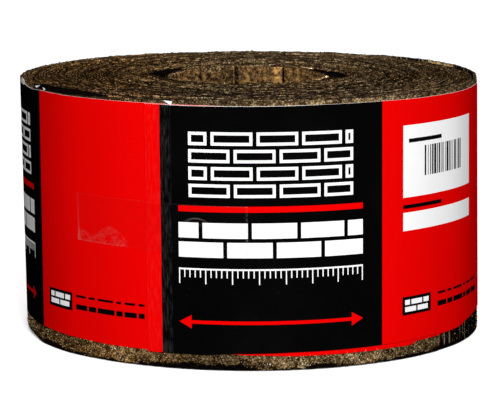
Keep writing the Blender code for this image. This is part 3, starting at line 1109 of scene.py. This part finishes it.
def build_fibres(coil_settings, grit):
    """Loose fibres: bent three-sided slivers, tapered to both ends, on the ends of the coil."""
    coil = Winding(coil_settings)
    chance = np.random.default_rng(grit.seed + 1)
    number = grit.fibres
    direction, radius, height, facing = end_places(coil, chance, number)
    corner = np.arange(3) * tau / 3
    ring = np.stack((0 * corner, np.cos(corner), np.sin(corner)), axis=-1)
    taper = np.array((0.45, 1.0, 0.4))[:, None, None]
    half = chance.lognormal(-0.1, 0.45, number) * MM
    wide = grit.fibre_width / 2 * chance.uniform(0.6, 1.5, number)
    shapes = (ring * taper)[None] * wide[:, None, None, None]
    shapes[..., 0] += half[:, None, None] * np.array((-1.0, 0.1, 1.0))[:, None]
    shapes[:, 1, :, 1] += (half * chance.normal(0, 0.14, number))[:, None]
    shapes[:, 1, :, 2] += (half * chance.uniform(0.0, 0.10, number))[:, None]
    heading = direction + chance.normal(0, 0.45, number)
    tilt = chance.normal(0, 0.05, number)
    level = np.cos(tilt)
    ahead = np.stack((np.cos(heading) * level, np.sin(heading) * level, np.sin(tilt)), axis=-1)
    up = np.stack((0 * facing, 0 * facing, facing), axis=-1)
    aside = np.cross(up, ahead)
    aside /= np.linalg.norm(aside, axis=1, keepdims=True)
    frames = np.stack((ahead, aside, np.cross(ahead, aside)), axis=-1)
    height = height + facing * chance.uniform(0.0, 0.1, number) * MM
    faces = np.concatenate((swept(3, 3)[:12], ((0, 2, 1), (6, 7, 8))))
    shapes = shapes.reshape(number, 9, 3)
    points, triangles = copies(coil.place(direction, radius, height), frames, shapes, faces)
    points[..., 2] = np.maximum(points[..., 2], 0.0)
    tone = np.repeat(chance.uniform(0, 1, number) ** 3.2 * 0.8, 9)
    fibres = add_piece(
        "felt_fibres", points, triangles, [loose_material("loose_fibres")], tone=tone
    )
    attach(fibres, "root")


# The places of the label's inks in its list of materials, and the cells of its sheet
RED, BLACK, WHITE = 0, 1, 2
LABEL_COLUMNS, GLUE_COLUMNS, LABEL_ROWS = 900, 40, 22
GLUE_TURN = radians(8)


def panel_starts(settings):
    """Where each black panel starts along the label."""
    return settings.first_panel + settings.panel_spacing * np.arange(3)


def build_label(coil_settings, settings):
    """The label: a sheet of paper with an outer and an inner face carried along the wrap. Each
    cell of the outer face takes its panel's ink, and the back and the cut edges are bare."""
    wrap = Wrap(Winding(coil_settings), settings)
    starts = panel_starts(settings)
    borders = np.sort(np.concatenate((starts, starts + settings.panel_width)))
    even = np.linspace(0, wrap.last, LABEL_COLUMNS)
    even = even[np.min(np.abs(even[:, None] - borders), axis=1) > radians(0.1)]
    glue = np.linspace(0, GLUE_TURN, GLUE_COLUMNS)
    along = np.unique(np.concatenate((even, borders, glue)))
    foot, top = wrap.foot(along), wrap.top(along)
    rim = through(wrap.RIM, np.degrees(along)) * MM
    share = np.linspace(0, 1, LABEL_ROWS)
    inside = (foot + rim)[:, None] + (top - foot - 2 * rim)[:, None] * share
    rows = np.concatenate((foot[:, None], inside, top[:, None]), axis=1)
    height = np.concatenate((rows, rows[:, ::-1]), axis=1)
    number = rows.shape[1]
    rise = np.repeat((settings.thickness, 0.0), number)
    points = wrap.point(along[:, None], height, rise)

    middle = (along[1:] + along[:-1]) / 2
    black = (middle[:, None] > starts) & (middle[:, None] < starts + settings.panel_width)
    cells = np.full((len(middle), 2 * number), WHITE)
    cells[:, : number - 1] = np.where(np.any(black, axis=1), BLACK, RED)[:, None]
    cells[:, number - 2] = WHITE
    ladders = np.full(4 * (number - 1), WHITE)
    slots = np.concatenate((cells.ravel(), cells.ravel(), ladders))
    reach = along * wrap.radius
    haze = 1 - eased((reach - wrap.GLUE_WIDTH) / (0.6 * MM))
    haze = np.repeat(haze[:, None], 2 * number, axis=1)
    uv = joined(reach[:, None], height)
    label = add_piece(
        "label_paper", points, swept(len(along), 2 * number), label_inks(settings),
        uv=uv, slots=slots, haze=haze,
    )
    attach(label, "root")
    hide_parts("label_band")


SCRAPS = (
    ((-19.8, 99.8), (-17.7, 99.5), (-18.0, 98.0)),
    ((-62.5, 100.2), (-59.3, 101.0), (-61.4, 99.6)),
    ((-58.0, 100.3), (-56.8, 99.7), (-57.5, 99.1)),
)


def build_scraps(coil_settings, settings):
    """White scraps torn from the label's upper edge: flat three-cornered plates that stand a
    little off the coil. Each corner is (direction in degrees, height in millimetres)."""
    wrap = Wrap(Winding(coil_settings), settings)
    direction, height = np.moveaxis(np.array(SCRAPS), 2, 0)
    direction, height = np.radians(direction), height * MM
    radius = wrap.seat(direction) + 0.35 * MM
    layers = [
        wrap.coil.place(direction, radius + rise, height) for rise in (0.0, settings.thickness)
    ]
    points = np.concatenate(layers, axis=1)
    prism = ((0, 2, 1), (3, 4, 5), (0, 1, 4), (0, 4, 3), (1, 2, 5), (1, 5, 4), (2, 0, 3), (2, 3, 5))
    triangles = repeated(prism, len(SCRAPS), 6)
    scraps = add_piece(
        "label_scraps", points, triangles, label_inks(settings)[2:], smooth=False,
        uv=points[..., :2], haze=np.zeros(points.shape[:2]),
    )
    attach(scraps, "root")


class Print:
    """Flat shapes of one ink on the label. Each is a strip from one place along the label to
    another, with a lower and an upper height at both, all in millimetres."""

    def __init__(self):
        self.shapes = []

    def wedge(self, left, right, left_heights, right_heights):
        """A strip whose heights change evenly from left to right."""
        self.shapes.append((left, right, *left_heights, *right_heights))

    def block(self, left, right, low, high):
        """A plain rectangle."""
        self.wedge(left, right, (low, high), (low, high))

    def outline(self, left, right, low, high, line):
        """A rectangle drawn with a line."""
        self.block(left, right, low, low + line)
        self.block(left, right, high - line, high)
        self.block(left, left + line, low + line, high - line)
        self.block(right - line, right, low + line, high - line)

    def plates(self, shapes, stations, wrap, rise):
        """Shapes as thin plates that follow the paper: their corners at each station, from just
        inside the paper's face to their rise above it, with their places along and across."""
        left, right, low_left, high_left, low_right, high_right = shapes.T * MM
        share = np.linspace(0, 1, stations)
        low = low_left[:, None] + (low_right - low_left)[:, None] * share
        high = high_left[:, None] + (high_right - high_left)[:, None] * share
        reach = (left[:, None] + (right - left)[:, None] * share)[..., None]
        height = np.stack((low, low, high, high), axis=-1)
        under, over = wrap.thickness - 0.03 * MM, wrap.thickness + rise
        points = wrap.point(reach / wrap.radius, height, np.array((under, over, over, under)))
        triangles = repeated(swept(stations, 4), len(left), stations * 4)
        uv = joined(reach, height)
        return points.reshape(-1, 3), triangles, uv.reshape(-1, 2)

    def build(self, name, wrap, rise, ink):
        """One piece of every shape, with a station at least every 1.5 mm along each."""
        shapes = np.array(self.shapes)
        stations = 2 + ((shapes[:, 1] - shapes[:, 0]) / 1.5).astype(int)
        points, triangles, uv, used = [], [], [], 0
        for number in np.unique(stations):
            found = self.plates(shapes[stations == number], number, wrap, rise)
            points.append(found[0])
            triangles.append(found[1] + used)
            uv.append(found[2])
            used += len(found[0])
        piece = add_piece(
            name, np.concatenate(points), np.concatenate(triangles), [ink],
            uv=np.concatenate(uv), haze=np.zeros(used),
        )
        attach(piece, "root")


def brick_courses(ink, left, right, low, courses, brick, gap, line):
    """Courses of bricks in running bond between two sides: outlines, or solid if line is 0."""
    length, height = brick
    for row in range(courses):
        start = left - (row % 2) * (length + gap) / 2
        bed = low + row * (height + gap)
        while start < right:
            one, two = max(start, left), min(start + length, right)
            if two - one > 2 * gap:
                if line:
                    ink.outline(one, two, bed, bed + height, line)
                else:
                    ink.block(one, two, bed, bed + height)
            start += length + gap


def draw_panel(white, red, left):
    """A black panel's design, from its content's left side: a wall drawn in outline over a red
    damp course, two courses of solid bricks, a ruler and a red dimension line."""
    width, inset, joint = 69.5, 4, 1.5
    wall_foot, courses, outlined, line = 64.6, 4, (15.2, 4.9), 1.1
    solid_foot, solid = 42.3, (16.6, 5.7)
    rule, ticks, tick, tick_foot, shorter = 37.6, 36, 0.4, 32.4, 2.4
    head, tip, barbs = 4.6, (18.0, 18.1), (15.5, 20.6)
    right = left + width
    brick_courses(white, left + inset, right - inset, wall_foot, courses, outlined, joint, line)
    red.block(left, right, 59.2, 61.4)
    brick_courses(white, left, right, solid_foot, 2, solid, joint, 0)
    white.block(left, right, rule, rule + 0.6)
    for number in range(ticks):
        place = left + number * (width - tick) / (ticks - 1)
        white.block(place, place + tick, tick_foot + (number % 5 > 0) * shorter, rule)
    red.block(left + head - 0.2, right - head + 0.2, 17.4, 18.7)
    red.wedge(left, left + head, tip, barbs)
    red.wedge(right - head, right, barbs, tip)


def draw_small_block(black, white, left, line_start, line_end):
    """A small brick mark in the lower margin, and two rows of plain dashes beside it."""
    black.block(left, left + 15.5, 16.7, 23.7)
    brick_courses(white, left + 1.3, left + 14.2, 17.9, 2, (5.8, 1.9), 0.8, 0)
    gap, longer, place = 1.5, 0.7, line_start
    for run in cycle((5.2, 3.1, 7.4, 2.2, 4.6, 6.1)):
        if place >= line_end:
            break
        end = min(place + run, line_end)
        black.block(place, end, 22.3, 23.2)
        black.block(place, min(end + longer, line_end), 17.6, 19.6)
        place += run + gap


def draw_code_box(white, black, left, chance):
    """A white box with plain bars of chance widths in it, which stand for nothing, and a plain
    white box under it."""
    width, title = 46.6, 22
    bars_start, bars_end, bars_foot, bars_top = 11.4, 37, 68.8, 80.2
    white.block(left, left + width, 61.4, 88.5)
    white.block(left, left + width, 48.8, 55.7)
    black.block(left + 2.8, left + title, 81.9, 83.4)
    place = left + bars_start
    while place < left + bars_end:
        wide = chance.choice((0.35, 0.55, 0.9, 1.3))
        black.block(place, place + wide, bars_foot, bars_top)
        place += wide + chance.choice((0.45, 0.6, 1.0))
    black.block(left, left + title, 57.2, 58.6)


def build_print(coil_settings, settings):
    """All print that isn't a panel's own ground, as thin plates of white, red and black."""
    wrap = Wrap(Winding(coil_settings), settings)
    chance = np.random.default_rng(settings.seed)
    white, red, black, bars = Print(), Print(), Print(), Print()
    to_length = wrap.radius / MM
    for start in panel_starts(settings):
        left = start * to_length
        panel_end = left + settings.panel_width * to_length
        draw_panel(white, red, left + 6.9)
        if panel_end < tau * to_length - 70:
            draw_code_box(white, bars, panel_end + 9.9, chance)
            draw_small_block(black, white, panel_end + 9.6, panel_end + 29.5, panel_end + 68)
        else:
            draw_small_block(black, white, panel_end + 5.8, panel_end + 23.5, tau * to_length)
    red_ink, black_ink, white_ink = label_inks(settings)
    white.build("label_print_white", wrap, 0.035 * MM, white_ink)
    red.build("label_print_red", wrap, 0.025 * MM, red_ink)
    black.build("label_print_black", wrap, 0.025 * MM, black_ink)
    bars.build("label_print_bars", wrap, 0.055 * MM, black_ink)


# The depth of the tape's teeth, how far it is raised at the left and falls to the right, and the
# run of its step off the label
TOOTH_DEPTH, TAPE_RAISED, TAPE_FALL, STEP_RUN = 0.55 * MM, 0.7 * MM, 1.3 * MM, 1.7 * MM

# Air trapped along the tape's lower edge, by (share of the width, degrees, half width in
# degrees), how wide it is at least, and where it ends
AIR = ((0.36, -35, 8), (0.22, -43.5, 4))
LEAST_AIR, AIR_END = 0.05, radians(-29.5)

# Painted highlights along creases in the tape: arcs round one point, by (strength, radius, half
# width)
CREASE_DIRECTION, CREASE_HEIGHT = radians(-12.6), 49.3 * MM
CREASE_HIGHLIGHTS = ((1.0, 7.4 * MM, 0.45 * MM), (0.5, 5.2 * MM, 0.9 * MM))


def build_tape(coil_settings, label_settings, tape):
    """The clear tape: a thin film over the label's free end, with a row of teeth at each end.
    It lies on the outer layer, and slopes down to the layer under it past the free end."""
    wrap = Wrap(Winding(coil_settings), label_settings)
    teeth = tape.width / tape.tooth
    share = np.linspace(0, 1, int(teeth) * 4 + 1)
    bite = TOOTH_DEPTH / wrap.radius * np.abs((share * teeth) % 1 - 0.5) * 2
    run = np.linspace(0, 1, 150)[:, None]
    start, end = tape.start + bite, tape.end - bite
    direction = start + (end - start) * run
    fall = TAPE_FALL * (direction - tape.start) / (tape.end - tape.start)
    height = TAPE_LOW[2] + TAPE_RAISED + tape.width * share - fall
    along = direction - wrap.free_end
    on_paper = np.where(along < 0, along + tau, along)
    paper = wrap.inner(on_paper) + wrap.relief(on_paper, height)
    step = (wrap.thickness + wrap.slack) * eased(1 + along * wrap.radius / STEP_RUN)
    paper = paper + np.where(along < 0, step, 0.0)
    under = wrap.thickness + tape.slack
    rise = np.repeat((under + tape.thickness, under), len(share))

    def both(values):
        return np.concatenate((values, values[:, ::-1]), axis=1)

    direction, height, paper = both(direction), both(height), both(paper)
    points = wrap.coil.place(direction, paper + rise, height)
    across, length = both(share + 0 * run), both(run + 0 * share)
    sides = 0.5 * np.maximum(hump(across, 0, 0.03), hump(across, 1, 0.03) * (1 + 1.6 * length))
    torn = hump(length, 0, 0.016) + 1.4 * hump(length, 1, 0.016)
    corner = 1.2 * hump(length, 0, 0.5) * (across < 0.2)
    rim = sides * (0.6 + corner) + torn * (0.6 + 2.5 * (1 - across) ** 4)
    air = sum(wide * hump(direction, radians(turned), radians(half)) for wide, turned, half in AIR)
    bubble = eased((LEAST_AIR + air - across) / 0.06)
    bubble = bubble * eased((AIR_END - direction) / radians(2))
    reach = (direction - CREASE_DIRECTION) * wrap.radius
    from_middle = np.hypot(reach, height - CREASE_HEIGHT)
    arcs = sum(strong * hump(from_middle, radius, half) for strong, radius, half in CREASE_HIGHLIGHTS)
    crease = arcs * eased((height - 52.5 * MM) / (2 * MM)) * hump(reach, 0, 9 * MM)
    film = add_piece(
        "tape_film", points, swept(len(run), 2 * len(share)), [film_material(tape)],
        uv=joined(direction * wrap.radius, height), bubble=bubble, rim=rim, crease=crease,
    )
    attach(film, "root")
    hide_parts("clear_tape")


def floor_material(settings):
    """A plain pale floor with the faintest mottle, and a faint glow of its own: painted light that
    lightens the shadows on it.
    """
    sheet, shader, material = new_material("studio_floor", FLOOR_GLOSS)
    mottle = sheet.noise(sheet.solid(), 6.0, 3.0)
    soft = tuple(channel * 0.985 for channel in settings.floor)
    sheet.feed(shader["Base Color"], sheet.mix(mottle, soft, settings.floor))
    shader["Roughness"].default_value = 0.9
    # Painted light: the floor glows a little, which lightens the shadows on it
    shader["Emission Color"].default_value = (1.0, 1.0, 1.0, 1.0)
    shader["Emission Strength"].default_value = 0.15
    return material


def add_light(name, place, power, wide):
    """A square area light that looks at the middle of the roll."""
    lamp = bpy.data.lights.new(name, "AREA")
    lamp.energy = power
    lamp.size = wide
    light = add_object(name, lamp)
    x, y, z = place
    down = atan((z - STRIP_WIDTH / 2) / np.hypot(x, y))
    light.location = place
    light.rotation_euler = (pi / 2 - down, 0.0, np.arctan2(x, -y))


def build_stage(settings):
    """Floor, even sky, a broad light from the front and above, one from behind, and the camera
    at the photograph's place."""
    scene = bpy.context.scene
    half, under = 6.0, 0.2 * MM
    corners = [(-half, -half), (half, -half), (half, half), (-half, half)]
    mesh = bpy.data.meshes.new("studio_floor")
    mesh.from_pydata([(x, y, -under) for x, y in corners], [], [(0, 1, 2, 3)])
    mesh.materials.append(floor_material(settings))
    floor = add_object("studio_floor", mesh)
    floor.visible_diffuse = False

    world = bpy.data.worlds.new("studio_sky")
    world.use_nodes = True
    sky = world.node_tree.nodes["Background"].inputs
    sky["Color"].default_value = (1.0, 1.0, 1.0, 1.0)
    sky["Strength"].default_value = settings.sky
    scene.world = world
    scene.view_settings.view_transform = "Standard"
    add_light("front_light", (0.1, -1.35, 1.0), settings.key, 0.9)
    add_light("top_light", (0.0, 0.35, 1.7), settings.top, 1.6)
    add_light("back_light", (0.0, 1.9, 1.0), settings.back, 1.4)

    data = bpy.data.cameras.new("camera")
    data.sensor_width = 36.0
    data.lens = data.sensor_width * settings.focal_pixels / PICTURE_WIDTH
    data.clip_start = 0.01
    camera = add_object("camera", data)
    camera.location = (0.0, -settings.distance, settings.height)
    camera.rotation_euler = (pi / 2 - settings.tilt, 0.0, 0.0)
    scene.camera = camera


class DAMP_COURSE_OT_strip(bpy.types.Operator):
    """Add the strip, wound into a coil"""

    bl_idname = "damp_course.strip"
    bl_label = "Wound Strip"

    def execute(self, context):
        build_strip(context.scene.damp_coil)
        return {"FINISHED"}


class DAMP_COURSE_OT_grit(bpy.types.Operator):
    """Add the loose grains and fibres on the strip"""

    bl_idname = "damp_course.grit"
    bl_label = "Grit and Fibres"

    def execute(self, context):
        scene = context.scene
        build_grit(scene.damp_coil, scene.damp_grit, scene.damp_label)
        build_fibres(scene.damp_coil, scene.damp_grit)
        return {"FINISHED"}


class DAMP_COURSE_OT_label(bpy.types.Operator):
    """Add the paper label"""

    bl_idname = "damp_course.label"
    bl_label = "Paper Label"

    def execute(self, context):
        build_label(context.scene.damp_coil, context.scene.damp_label)
        build_scraps(context.scene.damp_coil, context.scene.damp_label)
        return {"FINISHED"}


class DAMP_COURSE_OT_print(bpy.types.Operator):
    """Add the print on the label"""

    bl_idname = "damp_course.print"
    bl_label = "Label Print"

    def execute(self, context):
        build_print(context.scene.damp_coil, context.scene.damp_label)
        return {"FINISHED"}


class DAMP_COURSE_OT_tape(bpy.types.Operator):
    """Add the clear tape over the label's free end"""

    bl_idname = "damp_course.tape"
    bl_label = "Clear Tape"

    def execute(self, context):
        scene = context.scene
        build_tape(scene.damp_coil, scene.damp_label, scene.damp_tape)
        return {"FINISHED"}


class DAMP_COURSE_OT_stage(bpy.types.Operator):
    """Add the floor, the lights and the camera"""

    bl_idname = "damp_course.stage"
    bl_label = "Studio"

    def execute(self, context):
        build_stage(context.scene.damp_stage)
        return {"FINISHED"}


OPERATORS = (
    DAMP_COURSE_OT_strip,
    DAMP_COURSE_OT_grit,
    DAMP_COURSE_OT_label,
    DAMP_COURSE_OT_print,
    DAMP_COURSE_OT_tape,
    DAMP_COURSE_OT_stage,
)

SETTINGS = {
    "damp_coil": CoilSettings,
    "damp_grit": GritSettings,
    "damp_label": LabelSettings,
    "damp_tape": TapeSettings,
    "damp_stage": StageSettings,
}


class DAMP_COURSE_PT_pieces(bpy.types.Panel):
    """Lists the pieces of the roll and their settings"""

    bl_label = "Damp Course Roll"
    bl_idname = "DAMP_COURSE_PT_pieces"
    bl_space_type = "VIEW_3D"
    bl_region_type = "UI"
    bl_category = "Damp Course"

    def draw(self, context):
        for operator in OPERATORS:
            self.layout.operator(operator.bl_idname)
        for name, kind in SETTINGS.items():
            box = self.layout.box()
            box.label(text=kind.__name__)
            for key in kind.__annotations__:
                box.prop(getattr(context.scene, name), key)


def register():
    """Registers every class, and puts the settings on the scene."""
    for kind in (*SETTINGS.values(), *OPERATORS, DAMP_COURSE_PT_pieces):
        bpy.utils.register_class(kind)
    for name, kind in SETTINGS.items():
        setattr(bpy.types.Scene, name, PointerProperty(type=kind))


def unregister():
    """Takes the settings off the scene, and unregisters every class."""
    for name in SETTINGS:
        delattr(bpy.types.Scene, name)
    for kind in reversed((*SETTINGS.values(), *OPERATORS, DAMP_COURSE_PT_pieces)):
        bpy.utils.unregister_class(kind)


def main():
    """Builds every piece."""
    register()
    bpy.ops.damp_course.strip()
    bpy.ops.damp_course.grit()
    bpy.ops.damp_course.label()
    bpy.ops.damp_course.print()
    bpy.ops.damp_course.tape()
    bpy.ops.damp_course.stage()


if __name__ == "__main__":
    main()
